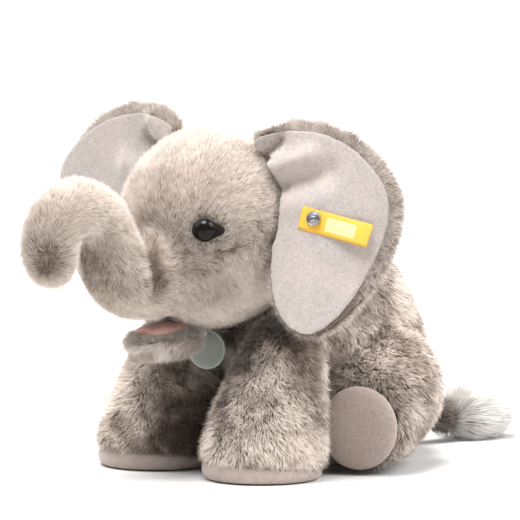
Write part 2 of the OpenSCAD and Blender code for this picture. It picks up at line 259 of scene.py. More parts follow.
def pile_finish(name, root, middle, tip, patch=0.4, patch_size=0.016):
    """Plush pile: dark roots, pale tips, patches where the nap lies another way, and painted shade in folds
    and hollows and between tufts.
    """
    paint = Finish(name, roughness=0.8, sheen_weight=0.3, sheen_roughness=0.45, specular_ior_level=0.2)
    along = paint.attribute("along")
    # The tuft attribute gives each tuft its own random tone, and darkens the pile towards each tuft's edge:
    # painted shade in the partings.
    tuft = paint.attribute("tuft")
    strand = paint.attribute("strand")
    broad = paint.noise(patch_size, 2.0, 0.5, 0.4).step(0.3, 0.7)
    fine = paint.noise(patch_size * 0.3, 2.0, 0.6, 0.6).step(0.28, 0.72)
    # Painted shade: this attribute darkens the pile in the face folds, under the trunk's curl, on the cheeks,
    # under the chin and in the trunk's gathered end, where shade falls.
    painted_shade = paint.attribute("painted_shade")
    level = along + (broad - 0.5) * patch + (fine - 0.5) * patch * 0.4 + (tuft - 0.5) * 0.22 - painted_shade * 0.95
    lower = paint.mix(level.step(-0.1, 0.45), root, middle)
    upper = paint.mix(level.step(0.25, 0.95), lower, tip)
    paint.colour(paint.scaled(upper, strand * 0.22 + 0.89))
    return paint.material


def backing_finish(name, colour):
    """The knitted backing that the pile grows from."""
    paint = Finish(name, roughness=0.95, sheen_weight=0.2)
    knit = paint.noise(0.0009, 2.0)
    shade = paint.noise(0.02, 2.0)
    paint.colour(paint.scaled(colour, knit * 0.5 + shade * 0.3 + 0.6))
    paint.bump(knit, 0.0004)
    return paint.material


def velvet_finish(name, colour, blush, worn=0.5):
    """Short velvet: a fine speckle of nap, and broad brushed patches."""
    paint = Finish(name, roughness=0.92, sheen_weight=0.6, sheen_roughness=0.35, specular_ior_level=0.15)
    speckle = paint.noise(0.0011, 3.0, 0.7)
    grain = paint.noise(0.0028, 2.0, 0.6, 0.8)
    brushed = paint.noise(0.024, 2.0, 0.5, 0.5)
    tint = paint.mix(brushed.step(0.35, 0.75), colour, blush)
    level = (speckle - 0.5) * 0.75 + (grain - 0.5) * 0.4 + (brushed - 0.5) * 0.16 * worn + 1.0
    paint.colour(paint.scaled(tint, level))
    paint.bump(speckle * 0.6 + grain * 0.4, 0.0005, 0.7)
    return paint.material


def eye_finish():
    paint = Finish("eye_black", specular_ior_level=0.16)
    swirl = paint.noise(0.004, 2.0)
    paint.colour(paint.mix(swirl, (0.004, 0.003, 0.003), (0.012, 0.009, 0.007)))
    paint.feed("Roughness", swirl * 0.05 + 0.09)
    return paint.material


def metal_finish(name, colour):
    paint = Finish(name, metallic=1.0)
    scuff = paint.noise(0.0012, 4.0, 0.65)
    paint.colour(paint.scaled(colour, scuff * 0.4 + 0.8))
    paint.feed("Roughness", scuff * 0.25 + 0.22)
    paint.bump(scuff, 0.00006)
    return paint.material


def plastic_finish(name, colour):
    paint = Finish(name, transmission_weight=0.3)
    cloud = paint.noise(0.003, 2.0)
    paint.colour(paint.scaled(colour, cloud * 0.16 + 0.9))
    paint.feed("Roughness", cloud * 0.2 + 0.28)
    return paint.material


def ribbon_finish():
    """Satin-woven ribbon: fine crosswise ribs, a paler panel and woven edges."""
    paint = Finish("ribbon_weave", roughness=0.6, sheen_weight=0.15)
    cloth = paint.attribute("cloth", "Vector")
    parts = paint.node("ShaderNodeSeparateXYZ", None, {0: cloth})
    along, across = Number(paint, parts.outputs[0]), Number(paint, parts.outputs[1])
    ribs = paint.number("ShaderNodeMath", {"operation": "SINE"}, {0: along * (2 * math.pi / 0.0007)})
    threads = paint.number("ShaderNodeMath", {"operation": "SINE"}, {0: across * (2 * math.pi / 0.0005)})
    weave = ribs * 0.5 * threads + 0.5
    off = paint.number("ShaderNodeMath", {"operation": "ABSOLUTE"}, {0: across})
    edge = off.step(0.0056, 0.0063)
    inner = 1 - off.step(0.0038, 0.0046)
    panel = along.step(0.0175, 0.0185) * (1 - along.step(0.0375, 0.0385)) * inner
    mottle = paint.noise(0.0016, 3.0, 0.6)
    yellow = paint.mix(mottle, (0.83, 0.47, 0.035), (0.93, 0.56, 0.06))
    paler = paint.mix(panel * (mottle.step(0.2, 0.6) * 0.4 + 0.5), yellow, (0.95, 0.78, 0.42))
    bound = paint.mix(edge * 0.5, paler, (0.70, 0.36, 0.02))
    paint.colour(paint.scaled(bound, weave * 0.22 + 0.87))
    paint.bump(weave, 0.00012)
    return paint.material


def tag_finish(centre, turn, radius):
    """Coated card: a grey-green face with two paler printed rings near its edge."""
    paint = Finish("tag_card", specular_ior_level=0.3)
    place = paint.place(centre, (0, 0, turn))
    parts = paint.node("ShaderNodeSeparateXYZ", None, {0: place})
    x, z = Number(paint, parts.outputs[0]), Number(paint, parts.outputs[2])
    out = (x * x + z * z) ** 0.5 / radius
    fibre = paint.noise(0.0006, 3.0, 0.6)
    face = paint.mix(fibre, (0.19, 0.215, 0.185), (0.26, 0.285, 0.25))
    ring = out.step(0.86, 0.9) * (1 - out.step(0.95, 0.98))
    fine = out.step(0.78, 0.79) * (1 - out.step(0.8, 0.81))
    paint.colour(paint.mix(ring * 0.75 + fine * 0.5, face, (0.42, 0.46, 0.41)))
    paint.feed("Roughness", fibre * 0.2 + 0.45)
    paint.bump(fibre * 0.5 + ring, 0.00008)
    return paint.material


# ---- Meshes

def add_piece(name, mesh, material):
    mesh.name = name
    mesh.materials.clear()
    mesh.materials.append(material)
    piece = bpy.data.objects.new(name, mesh)
    bpy.context.scene.collection.objects.link(piece)
    return piece


def mesh_of(shape, name):
    mesh = bpy.data.meshes.new(name)
    shape.to_mesh(mesh)
    shape.free()
    return mesh


def smoothed(mesh):
    for polygon in mesh.polygons:
        polygon.use_smooth = True
    return mesh


def copied(*nodes, hull=False):
    """One mesh of copies of these CAD nodes, with their doubled points merged."""
    shape = bmesh.new()
    for name in nodes:
        shape.from_mesh(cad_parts[name].data)
    bmesh.ops.remove_doubles(shape, verts=shape.verts, dist=0.01 * MM)
    if hull:
        made = bmesh.ops.convex_hull(shape, input=shape.verts)
        bmesh.ops.delete(shape, geom=made["geom_interior"] + made["geom_unused"], context="VERTS")
        inner = [f for f in shape.faces if f not in set(made["geom"])]
        bmesh.ops.delete(shape, geom=inner, context="FACES")
    return mesh_of(shape, "copy")


def evaluated(mesh, *modifiers):
    """The mesh with these modifiers' results in it. Each is (type, settings)."""
    holder = bpy.data.objects.new("holder", mesh)
    bpy.context.scene.collection.objects.link(holder)
    for kind, settings in modifiers:
        made = holder.modifiers.new(kind, kind)
        for word, value in settings.items():
            setattr(made, word, value)
    graph = bpy.context.evaluated_depsgraph_get()
    result = bpy.data.meshes.new_from_object(holder.evaluated_get(graph))
    bpy.data.objects.remove(holder)
    return result


def largest_island(mesh):
    """The mesh without the closed skins that the remesh leaves inside it."""
    shape = bmesh.new()
    shape.from_mesh(mesh)
    shape.verts.ensure_lookup_table()
    unseen = set(shape.verts)
    islands = []
    while unseen:
        front = [unseen.pop()]
        island = list(front)
        while front:
            for edge in front.pop().link_edges:
                for vert in edge.verts:
                    if vert in unseen:
                        unseen.remove(vert)
                        front.append(vert)
                        island.append(vert)
        islands.append(island)
    islands.sort(key=len)
    spare = [v for island in islands[:-1] for v in island]
    bmesh.ops.delete(shape, geom=spare, context="VERTS")
    bmesh.ops.recalc_face_normals(shape, faces=shape.faces)
    shape.to_mesh(mesh)
    shape.free()
    return mesh


def points_of(mesh):
    co = np.empty(len(mesh.vertices) * 3)
    mesh.vertices.foreach_get("co", co)
    return co.reshape(-1, 3)


def normals_of(mesh):
    out = np.empty(len(mesh.vertices) * 3)
    mesh.vertices.foreach_get("normal", out)
    return out.reshape(-1, 3)


def put_points(mesh, points):
    mesh.vertices.foreach_set("co", points.ravel())
    mesh.update()


def stuffed(mesh, voxel, smoothing, depth):
    """A closed, smoothly filled skin, depth below the surface of the solids in mesh."""
    whole = largest_island(evaluated(mesh, ("REMESH", {"mode": "VOXEL", "voxel_size": voxel})))
    whole = evaluated(whole, ("SMOOTH", {"factor": 0.5, "iterations": smoothing}))
    points, normals = points_of(whole), normals_of(whole)
    if callable(depth):
        depth = depth(points)[:, None]
    put_points(whole, points - normals * depth)
    return smoothed(evaluated(whole, ("SMOOTH", {"factor": 0.5, "iterations": 3})))


def smooth_step(value, low, high):
    share = np.clip((value - low) / (high - low), 0, 1)
    return share * share * (3 - 2 * share)


def unit(vectors):
    return vectors / np.maximum(np.linalg.norm(vectors, axis=-1, keepdims=True), 1e-12)


def ripple(points, wavelength, seed):
    """Smooth values, mostly between -1 and 1, that wander over about one wavelength."""
    chance = np.random.default_rng(seed)
    total = np.zeros(len(points))
    waves = 7
    for _ in range(waves):
        heading = unit(chance.normal(size=3))
        pace = 2 * math.pi / wavelength * chance.uniform(0.6, 1.5)
        total += np.sin(points @ heading * pace + chance.uniform(0, 2 * math.pi))
    return total / waves * 1.8


def ripples(points, wavelength, seed):
    return np.stack([ripple(points, wavelength, seed + k) for k in range(3)], axis=1)


def nearest_tuft(points, spacing, seed):
    """For each point its nearest tuft centre, that tuft's own number, and how far off it lies."""
    cell = np.floor(points / spacing)
    nearest = np.full(len(points), 1e9)
    centre = points.copy()
    mark = np.zeros(len(points))
    for step in np.ndindex(3, 3, 3):
        neighbour = cell + np.array(step) - 1
        key = neighbour @ np.array([127.1, 311.7, 74.7]) + seed
        offset = np.stack([np.sin(key + k * 17.3) * 43758.5453 % 1 for k in range(3)], axis=1)
        place = (neighbour + offset) * spacing
        away = np.sum((place - points) ** 2, axis=1)
        closer = away < nearest
        nearest[closer] = away[closer]
        centre[closer] = place[closer]
        mark[closer] = (np.sin(key * 1.7) * 9631.7 % 1)[closer]
    return centre, mark, np.sqrt(nearest) / spacing


def clearance(points, skins):
    """How far each point lies outside these skins, in metres, and below 0 inside one."""
    least = np.full(len(points), 1.0)
    for skin in skins:
        shape = bmesh.new()
        shape.from_mesh(skin)
        tree = BVHTree.FromBMesh(shape)
        shape.free()
        for k, point in enumerate(points):
            spot, normal, _, away = tree.find_nearest(Vector(point), FAR_OFF)
            if spot is not None:
                signed = away if (Vector(point) - spot).dot(normal) > 0 else -away
                least[k] = min(least[k], signed)
            elif least[k] > 0:
                normal = tree.ray_cast(Vector(point), Vector((0, 0, 1)))[1]
                if normal is not None and normal.z > 0:
                    least[k] = -FAR_OFF
    return least


def scattered(skin, density, seed, free):
    """Root points over a skin, their normals, and the random source. density is per square mm."""
    chance = np.random.default_rng(seed)
    skin.calc_loop_triangles()
    corners = np.empty(len(skin.loop_triangles) * 3, int)
    skin.loop_triangles.foreach_get("vertices", corners)
    corners = corners.reshape(-1, 3)
    points, normals = points_of(skin), normals_of(skin)
    a, b, c = (points[corners[:, k]] for k in range(3))
    area = np.linalg.norm(np.cross(b - a, c - a), axis=1) / 2
    area = area * (free[corners].max(axis=1) > 0)
    count = int(area.sum() / MM**2 * density)
    pick = corners[chance.choice(len(area), count, p=area / area.sum())]
    share = chance.dirichlet((1, 1, 1), count)
    roots = np.einsum("nk,nkj->nj", share, points[pick])
    out = unit(np.einsum("nk,nkj->nj", share, normals[pick]))
    open_air = np.einsum("nk,nk->n", share, free[pick])
    keep = open_air > 0
    return roots[keep], out[keep], chance


def pile(name, skin, others, comb, length, density, material, seed=1, lay=1.0, gather=0.55, painted_shade_routes=(),
         tuft=0.0038, unruly=0.3, width=0.21 * MM, parts=1, bare=None, steps=2, whirl=0.45):
    """Plush pile on a skin: tapered blades, combed along comb, that gather into tufts."""
    points = points_of(skin)
    free = clearance(points, others) if others else np.ones(len(points))
    roots, out, chance = scattered(skin, density, seed, free)
    long = length(roots) if callable(length) else np.full(len(roots), length)
    long = long * chance.uniform(0.8, 1.15, len(roots))
    if bare is not None:
        share = bare(roots, out)
        keep = share > 0.05
        roots, out, long = roots[keep], out[keep], (long * share)[keep]
    along = comb(roots, out)
    along = along + ripples(roots, 0.021, seed + 10) * whirl + ripples(roots, 0.009, seed + 20) * whirl * 0.6
    along = unit(along - out * np.sum(along * out, axis=1, keepdims=True))
    centre, mark, away = nearest_tuft(roots, tuft, seed)
    pull = centre - roots
    pull -= out * np.sum(pull * out, axis=1, keepdims=True)
    stray = chance.normal(size=roots.shape) * unruly
    place = roots.copy()
    rows = [place]
    for step in range(steps):
        bend = (step + 0.5) / steps
        heading = unit(out * (1.05 - 0.75 * bend * lay) + along * lay * (0.25 + 1.1 * bend) + stray)
        place = place + heading * (long / steps)[:, None]
        rows.append(place + pull * gather * ((step + 1) / steps))
    flat = unit(np.cross(rows[-1] - rows[0], out))
    turn = chance.uniform(-0.7, 0.7, len(roots))[:, None]
    flat = unit(flat * np.cos(turn) + np.cross(unit(rows[-1] - rows[0]), flat) * np.sin(turn))
    # Painted shade: how much the pile is darkened along each given route, where shade falls in folds and
    # hollows.
    painted_shade_level = np.zeros(len(roots))
    for route, broad, strength in painted_shade_routes:
        painted_shade_level = np.maximum(painted_shade_level, near_route(roots, route, broad) * strength)
    # The tuft value is a random tone per tuft plus painted shade towards the tuft's edge, in the partings
    # between tufts.
    tone = {"painted_shade": painted_shade_level, "strand": chance.uniform(0, 1, len(roots)),
            "tuft": mark * 0.6 + (1 - np.minimum(away, 1)) * 0.4}
    order = np.argsort(roots @ np.array([0.3, 1.0, 0.2]))
    pieces = []
    for k, chosen in enumerate(np.array_split(order, parts)):
        label = name if parts == 1 else f"{name}_{k + 1}"
        mesh = blades(label, [row[chosen] for row in rows], flat[chosen], out[chosen], width,
                      {word: value[chosen] for word, value in tone.items()})
        pieces.append(add_piece(label, mesh, material))
    return pieces


def blades(name, rows, flat, out, width, tone):
    """One mesh of flat strands. Each runs through its rows of points and ends in a point.
    Their normals lean towards the skin's own, so that the pile shades as one soft surface."""
    count, steps = len(rows[0]), len(rows) - 1
    size = 2 * steps + 1
    verts = np.empty((count, size, 3))
    along = np.empty((count, size))
    for step in range(steps):
        half = flat * width * (1 - 0.35 * step / steps)
        verts[:, 2 * step] = rows[step] - half
        verts[:, 2 * step + 1] = rows[step] + half
        along[:, 2 * step:2 * step + 2] = step / steps
    verts[:, -1] = rows[-1]
    along[:, -1] = 1
    verts[:, :, 2] = np.maximum(verts[:, :, 2], 0.3 * MM)
    quads = [[2 * k, 2 * k + 1, 2 * k + 3, 2 * k + 2] for k in range(steps - 1)]
    tip = [2 * steps - 2, 2 * steps - 1, 2 * steps]
    pattern = np.array([corner for quad in quads for corner in quad] + tip)
    starts = np.array([4 * k for k in range(steps)])
    mesh = bpy.data.meshes.new(name)
    mesh.vertices.add(count * size)
    mesh.vertices.foreach_set("co", verts.ravel())
    loops = (np.arange(count)[:, None] * size + pattern).ravel()
    mesh.loops.add(len(loops))
    mesh.loops.foreach_set("vertex_index", loops)
    mesh.polygons.add(count * steps)
    mesh.polygons.foreach_set("loop_start", (np.arange(count)[:, None] * len(pattern) + starts).ravel())
    mesh.update(calc_edges=True)
    for word, value in {"along": along, **tone}.items():
        spread = value.ravel() if value.ndim == 2 else np.repeat(value, size)
        mesh.attributes.new(word, "FLOAT", "POINT").data.foreach_set("value", spread.astype(np.float32))
    faced = unit(np.cross(flat, rows[-1] - rows[0]))
    soft = unit(out * PILE_SOFTNESS + faced * (1 - PILE_SOFTNESS))
    mesh.normals_split_custom_set_from_vertices(np.repeat(soft, size, axis=0))
    return mesh


def settle(pieces, body, blend=None, replaces=()):
    """Rides pieces on their body, or, when a blend is given, leaves them unparented with their placement
    baked into the mesh, and hides the solids that they replace.
    """
    for piece in pieces if isinstance(pieces, list) else [pieces]:
        if blend:
            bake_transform(piece)
        else:
            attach(piece, body)
        if replaces:
            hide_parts(*replaces)


# ---- Shaping helpers

def near_route(points, route, width):
    """1 on a route of points, falling to 0 about width away from it."""
    away = np.full(len(points), 1.0)
    for start, end in zip(route[:-1], route[1:]):
        start, run = np.array(start), np.array(end) - np.array(start)
        share = np.clip((points - start) @ run / (run @ run), 0, 1)
        away = np.minimum(away, np.linalg.norm(points - start - share[:, None] * run, axis=1))
    return np.exp(-((away / width) ** 2))


def dented(mesh, route, depth, width):
    """Presses a groove into a skin along a route of points."""
    points, normals = points_of(mesh), normals_of(mesh)
    put_points(mesh, points - normals * (depth * near_route(points, route, width))[:, None])


class Drape:
    """The height of a soft surface along a direction, fitted smoothly through rays cast on it."""

    def __init__(self, mesh, middle, along, across, out, reach):
        self.middle, self.axes, self.out = middle, np.stack([along, across]), out
        tree = BVHTree.FromPolygons([Vector(v) for v in points_of(mesh)],
                                    [tuple(p.vertices) for p in mesh.polygons])
        steps = np.linspace(-1, 1, 15)
        grid = np.array([(a, c) for a in steps for c in steps]) * reach
        found = []
        for place in grid:
            start = middle + place @ self.axes + out * 0.03
            hit = tree.ray_cast(Vector(start), Vector(-out), 0.045)[0]
            if hit is not None:
                found.append((*place, np.array(hit) @ out))
        found = np.array(found)
        self.fit = np.linalg.lstsq(self.terms(found[:, :2]), found[:, 2], rcond=None)[0]

    def terms(self, place):
        a, c = place[:, 0] * 100, place[:, 1] * 100
        return np.stack([np.ones(len(a)), a, c, a * a, a * c, c * c], axis=1)

    def height(self, points):
        return self.terms((points - self.middle) @ self.axes.T) @ self.fit


def flat_frame(points, facing):
    """The middle of a flat set of points, and the direction that they face."""
    middle = (points.max(axis=0) + points.min(axis=0)) / 2
    axes = np.linalg.svd(points - points.mean(axis=0), full_matrices=False)[2]
    return middle, axes[2] * np.sign(axes[2] @ facing)


def ringed(rings, sides=64):
    """A closed cushion lofted up through rings of (scale, height), over a unit circle."""
    shape = bmesh.new()
    bmesh.ops.create_circle(shape, cap_ends=True, segments=sides, radius=1)
    ends = bmesh.ops.extrude_face_region(shape, geom=shape.faces[:])
    loop = [v for v in ends["geom"] if isinstance(v, bmesh.types.BMVert)]
    levels = [[v for v in shape.verts if v not in set(loop)], loop]
    while len(levels) < len(rings):
        top = [f for f in shape.faces if all(v in set(levels[-1]) for v in f.verts)]
        ends = bmesh.ops.extrude_face_region(shape, geom=top)
        bmesh.ops.delete(shape, geom=top, context="FACES_ONLY")
        levels.append([v for v in ends["geom"] if isinstance(v, bmesh.types.BMVert)])
    for level, (scale, height) in zip(levels, rings):
        bmesh.ops.scale(shape, vec=(scale, scale, 1), verts=level)
        bmesh.ops.translate(shape, vec=(0, 0, height), verts=level)
    for face in [f for f in shape.faces if len(f.verts) > 4]:
        bmesh.ops.poke(shape, faces=[face])
    bmesh.ops.recalc_face_normals(shape, faces=shape.faces)
    return smoothed(mesh_of(shape, "ringed"))


# ---- Finishes of this elephant

PILE_ROOT = (0.17, 0.125, 0.098)
PILE_MIDDLE = (0.46, 0.375, 0.315)
PILE_TIP = (0.80, 0.715, 0.645)
VELVET = (0.45, 0.41, 0.39)
VELVET_BLUSH = (0.49, 0.425, 0.395)
SOLE = (0.45, 0.38, 0.345)

make_camera()
make_studio()
face_pile = pile_finish("face_pile", PILE_ROOT, PILE_MIDDLE, PILE_TIP, 0.2, 0.026)
body_pile = pile_finish("body_pile", (0.10, 0.072, 0.055), (0.39, 0.31, 0.258), (0.86, 0.765, 0.69),
                        0.6, 0.034)
ear_pile = pile_finish("ear_pile", (0.24, 0.185, 0.15), (0.56, 0.475, 0.415), (0.84, 0.76, 0.70), 0.2, 0.02)
# The jaw's pile is paler than the face pile: partly the lip's own pale fur, partly painted light that
# lightens the jaw where the head shades it.
jaw_fur = pile_finish("jaw_fur", (0.30, 0.24, 0.20), (0.66, 0.57, 0.50), (0.92, 0.85, 0.79), 0.2, 0.02)
tail_pile = pile_finish("tail_pile", (0.2, 0.175, 0.155), (0.56, 0.53, 0.5), (0.90, 0.89, 0.86), 0.3, 0.01)
stem_pile = pile_finish("stem_pile", (0.02, 0.015, 0.012), (0.07, 0.055, 0.046), (0.22, 0.18, 0.155),
                        0.4, 0.008)
backing = backing_finish("pile_backing", (0.24, 0.185, 0.15))
tail_backing = backing_finish("tail_backing", (0.2, 0.17, 0.15))
ear_velvet = velvet_finish("ear_velvet", VELVET, VELVET_BLUSH)
sole_velvet = velvet_finish("sole_velvet", SOLE, (0.43, 0.345, 0.305))
mouth_velvet = velvet_finish("mouth_velvet", (0.76, 0.40, 0.33), (0.84, 0.52, 0.44))
eye_felt = velvet_finish("eye_felt", (0.012, 0.009, 0.008), (0.02, 0.015, 0.013))

# ---- Skins: each closed and stuffed, a pile's depth inside its cover

PILE_DEPTH = 5.5 * MM
VOXEL = 3 * MM
SOLE_RISE = {"front": 11 * MM, "back": 4 * MM}


def sole_line(points, low, high):
    """How high the top edge of a front sole lies, at these points: it rises towards the toes."""
    return np.interp(points[:, 1], [low.y, high.y], [SOLE_RISE["front"], SOLE_RISE["back"]])


def foot_depth(low, high):
    """The leg's skin draws in behind its sole, which bulges in front of it."""
    def depth(points):
        above = points[:, 2] - sole_line(points, low, high)
        return np.interp(above, [-1 * MM, 4 * MM, 30 * MM], [8 * MM, 4.5 * MM, PILE_DEPTH])
    return depth


torso_skin = stuffed(copied("torso_cover", hull=True), VOXEL, 8, PILE_DEPTH)
head_skin = stuffed(copied("head_cover", "head_filling", "trunk_cover", "trunk_filling"), 2.5 * MM, 8, 5 * MM)
jaw_skin = stuffed(copied("lower_jaw"), 1.8 * MM, 4, 1.5 * MM)
leg_skins = {}
for side in SIDES:
    front = stuffed(copied(f"{side}_front_leg_cover"), VOXEL, 6, foot_depth(*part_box(f"{side}_front_sole")))
    hind = stuffed(copied(f"{side}_hind_leg_cover"), VOXEL, 6, 4.5 * MM)
    leg_skins[side] = {"front": front, "hind": hind}

# Where the torso stands on the table its backing is pressed almost flat against it
points = points_of(torso_skin)
flat_seat = normals_of(torso_skin)[:, 2] < -0.6
points[flat_seat, 2] = np.minimum(points[flat_seat, 2], 1.5 * MM)
put_points(torso_skin, points)

# The gathered fold between the raised trunk and each cheek, pressed into the skin, with painted shade
# darkening the pile along it
FACE_PAINTED_SHADE = []
for sign in SIDES.values():
    fold = [(sign * 0.004, -0.108, 0.150), (sign * 0.013, -0.115, 0.142), (sign * 0.020, -0.118, 0.131),
            (sign * 0.023, -0.117, 0.116)]
    FACE_PAINTED_SHADE.append((fold, 5.5 * MM, 1.15))
    dented(head_skin, fold, 6 * MM, 4.5 * MM)
# Painted shade: the pile darkened under the trunk's curl and on the cheeks, where shade falls
FACE_PAINTED_SHADE.append(([(0, -0.150, 0.132), (0, -0.137, 0.112)], 17 * MM, 0.36))
for sign in SIDES.values():
    FACE_PAINTED_SHADE.append(([(sign * 0.028, -0.105, 0.118), (sign * 0.055, -0.070, 0.112)], 27 * MM, 0.2))

# The soft end of the trunk hangs a little fuller than its cover
points = points_of(head_skin)
end = np.exp(-((np.linalg.norm(points - np.array([0, -0.184, 0.130]), axis=1) / 0.022) ** 2))[:, None]
put_points(head_skin, points + end * np.array([0, 0.0025, -0.006]))

# The corners of the mouth turn up, and the lip is rolled and full
points = points_of(jaw_skin)
points[:, 2] += 1.5 * MM + 4 * MM * smooth_step(np.abs(points[:, 0]), 6 * MM, 18 * MM)
points[:, 0] *= 0.9
put_points(jaw_skin, points)


# ---- Head and trunk

trunk_hinge = Vector((0, -0.085, 0.130))
TRUNK_BEND = ("head", "trunk", trunk_hinge + Vector((0, 0.022, 0)), trunk_hinge - Vector((0, 0.03, 0)))
# The trunk's middle line in the plane x = 0, from the face to the tip
TRUNK_ROUTE = np.array([(0, -0.075, 0.130), (0, -0.103, 0.125), (0, -0.122, 0.126), (0, -0.133, 0.137),
                        (0, -0.137, 0.151), (0, -0.147, 0.164), (0, -0.163, 0.170), (0, -0.178, 0.163),
                        (0, -0.185, 0.148), (0, -0.184, 0.122)])
SKULL = np.array([0, -0.046, 0.155])
# The gathered end of the trunk, where its seams meet
TRUNK_TIP = np.array([0.008, -0.195, 0.140])
TRUNK_GATHER = [TRUNK_TIP, TRUNK_TIP + 0.001]
SHORT_PILE = {"steps": 1, "width": 0.17 * MM, "tuft": 3 * MM, "gather": 0.4, "unruly": 0.24}
EYE_CLEAR = 8.4 * MM


def comb_face(roots, out):
    """From the trunk's tip back along it, then over the face to the neck."""
    away = np.linalg.norm(roots[:, None] - TRUNK_ROUTE[None], axis=2)
    near = np.clip(np.argmin(away, axis=1), 1, len(TRUNK_ROUTE) - 2)
    back = unit(TRUNK_ROUTE[near - 1] - TRUNK_ROUTE[near + 1])
    from_tip = roots - TRUNK_TIP
    radial = unit(from_tip) * np.exp(-((np.linalg.norm(from_tip, axis=1) / 0.022) ** 2))[:, None] * 2
    share = smooth_step(-roots[:, 1], 0.085, 0.11)[:, None]
    around = unit(roots - SKULL)
    over = np.stack([0 * around[:, 0], around[:, 2], -around[:, 1]], axis=1)
    upper = np.interp(roots[:, 2], [0.118, 0.150], [0, 1])[:, None]
    upper = np.maximum(upper, smooth_step(around[:, 1], 0.1, 0.5)[:, None])
    sweep = over * 1.2 * upper + np.array([0, 0.45, -0.4]) * (1.7 - upper) + roots * np.array([2.0, 0, 0])
    return unit(back + radial) * share + sweep * (1 - share)


dented(head_skin, TRUNK_GATHER, 4 * MM, 5 * MM)

eye_middle = {}
eye_out = {}
for side in SIDES:
    points = points_of(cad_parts[f"{side}_eye"].data)
    low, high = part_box(f"{side}_eye_washer")
    back_of_eye = np.array((low + high) / 2)
    far = points[np.argmax(np.linalg.norm(points - back_of_eye, axis=1))]
    eye_out[side] = unit(far - back_of_eye)
    eye_middle[side] = far - eye_out[side] * 3 * MM


def face_room(roots, out):
    """No pile on the eyes, short pile beside them, and short pile on the underside over the mouth."""
    share = np.ones(len(roots))
    for middle in eye_middle.values():
        share *= smooth_step(np.linalg.norm(roots - middle, axis=1), EYE_CLEAR, 17 * MM) * 0.8 + 0.2
        share *= np.linalg.norm(roots - middle, axis=1) > EYE_CLEAR
    mouth_low, mouth_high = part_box("mouth_lining")
    inside = (roots[:, 1] > mouth_low.y) & (roots[:, 1] < mouth_high.y - 12 * MM)
    inside &= (np.abs(roots[:, 0]) < mouth_high.x - 3 * MM) & (roots[:, 2] < mouth_high.z + 14 * MM)
    return share * np.where(inside & (out[:, 2] < -0.75), 0.35, 1)


def face_length(roots):
    """Short on the trunk and the forehead, longer on the cheeks."""
    cheek = smooth_step(-roots[:, 2], -0.15, -0.11) * smooth_step(roots[:, 1], -0.1, -0.07)
    return 6.6 * MM + 2.2 * MM * cheek


head_base = add_piece("head_skin", head_skin, backing)
settle(head_base, None, TRUNK_BEND,
       ("head_cover", "head_filling", "trunk_cover", "trunk_filling"))
# Painted shade darkens this pile along the face folds, under the curl, on the cheeks and in the dent at the
# trunk's gathered end.
head_pile = pile("head_pile", head_skin, [torso_skin], comb_face, face_length, 5.6, face_pile, seed=3,
                 parts=3, bare=face_room, painted_shade_routes=[*FACE_PAINTED_SHADE, (TRUNK_GATHER, 4.5 * MM, 0.75)],
                 whirl=0.34, **SHORT_PILE)
settle(head_pile, None, TRUNK_BEND)


mouth_skin = stuffed(copied("mouth_lining"), 1.2 * MM, 4, 0.0)
put_points(mouth_skin, points_of(mouth_skin) * np.array([0.8, 1, 1]) + np.array([0, -0.003, 0.003]))


def comb_jaw(roots, out):
    return np.array([0, -0.7, -0.35]) + roots * np.array([14.0, 0, 0])


# The jaw's backing is paler than the other backing: painted light, lightening the shaded gap under the head.
jaw_base = add_piece("jaw_skin", jaw_skin, backing_finish("jaw_backing", (0.60, 0.51, 0.45)))
settle(jaw_base, "head", None, ("lower_jaw",))
jaw_pile = pile("jaw_pile", jaw_skin, [mouth_skin], comb_jaw, 7 * MM, 6, jaw_fur, seed=5,
                **SHORT_PILE)
settle(jaw_pile, "head")
mouth = add_piece("mouth_pad", mouth_skin, mouth_velvet)
settle(mouth, "head", None, ("mouth_lining",))


# ---- Torso and legs

def comb_down(roots, out):
    return np.array([0, 0.25, -1.0]) + roots * np.array([4.0, 0, 0])


def off_the_table(roots, out):
    """No pile where the skin stands on the table."""
    return 1 - smooth_step(-out[:, 2], 0.5, 0.8) * (roots[:, 2] < 12 * MM)


# Painted shade: the pile darkened under the chin and as far as the upper legs, where shade falls
THROAT_PAINTED_SHADE = [([(-0.05, -0.05, 0.100), (0.05, -0.05, 0.100)], 38 * MM, 0.6),
          ([(0, -0.06, 0.03), (0, -0.06, 0.08)], 24 * MM, 1.0)]
LEG_SEED = {"left_front_leg": 263, "left_hind_leg": 271, "right_front_leg": 279, "right_hind_leg": 287}
torso_base = add_piece("torso_skin", torso_skin, backing)
settle(torso_base, "torso", None, ("torso_cover", "torso_filling"))
all_legs = [skin for pair in leg_skins.values() for skin in pair.values()]
torso_pile = pile("torso_pile", torso_skin, [head_skin, *all_legs], comb_down, 9.5 * MM, 2.6, body_pile,
                  seed=7, parts=2, bare=off_the_table, whirl=0.5, painted_shade_routes=THROAT_PAINTED_SHADE)
settle(torso_pile, "torso")
for side in SIDES:
    for place in ("front", "hind"):
        body = f"{side}_{place}_leg"
        skin = leg_skins[side][place]
        low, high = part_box(f"{side}_{place}_sole")

        def leg_room(roots, out):
            """No pile on the table, over the sole or on the end that the sole covers."""
            if place == "front":
                return off_the_table(roots, out) * (roots[:, 2] > sole_line(roots, low, high) - 1 * MM)
            middle = np.array((low + high) / 2)
            beside = np.linalg.norm(roots - middle, axis=1)
            return off_the_table(roots, out) * np.where(beside < 21 * MM, 0, 1) * np.interp(
                beside, [22 * MM, 38 * MM], [0.75, 1])

        base = add_piece(f"{body}_skin", skin, backing)
        settle(base, body, None, (f"{body}_cover", f"{body}_filling"))
        strands = pile(f"{body}_pile", skin, [torso_skin], comb_down, 9 * MM, 2.8, body_pile,
                       seed=LEG_SEED[body], bare=leg_room, whirl=0.55,
                       painted_shade_routes=THROAT_PAINTED_SHADE if place == "front" else ())
        settle(strands, body)

# ---- Soles

